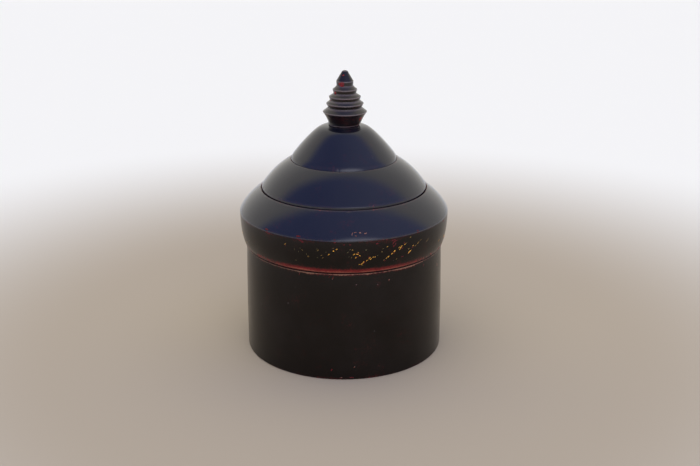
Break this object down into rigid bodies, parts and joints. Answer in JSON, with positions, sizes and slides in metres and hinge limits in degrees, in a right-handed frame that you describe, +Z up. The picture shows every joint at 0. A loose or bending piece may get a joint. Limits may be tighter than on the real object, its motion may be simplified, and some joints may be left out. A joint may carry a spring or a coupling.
{
  "type": "lidded box",
  "caption": "Round lacquered box with a domed, tiered lid that lifts off by a ringed finial and is kept in place by a collar standing inside the mouth.",
  "frame": {"origin": "middle of the foot, on the surface that the box stands on", "axes": "+Z up along the axis that every piece is turned about; the front, with the most worn gold, faces -Y"},
  "size_m": [0.1604, 0.1604, 0.2159],
  "materials": {
    "black_lacquer": "near-black lacquer over red, polished and worn",
    "red_lacquer": "satin red lacquer",
    "bare_wood": "bare hardwood"
  },
  "bodies": {
    "box": {"body_wall": "black_lacquer", "base_disc": "red_lacquer", "foot_hoop": "black_lacquer", "mouth_collar": "red_lacquer"},
    "lid": {"lid_band": "black_lacquer", "lid_lower_tier": "black_lacquer", "lid_middle_tier": "black_lacquer", "lid_upper_tier": "black_lacquer", "finial": "black_lacquer", "finial_wedge": "bare_wood"}
  },
  "joints": [
    {"name": "lid_lift", "type": "slide", "parent": "box", "child": "lid", "axis": [0, 0, 1], "range_m": [0, 0.16]}
  ]
}
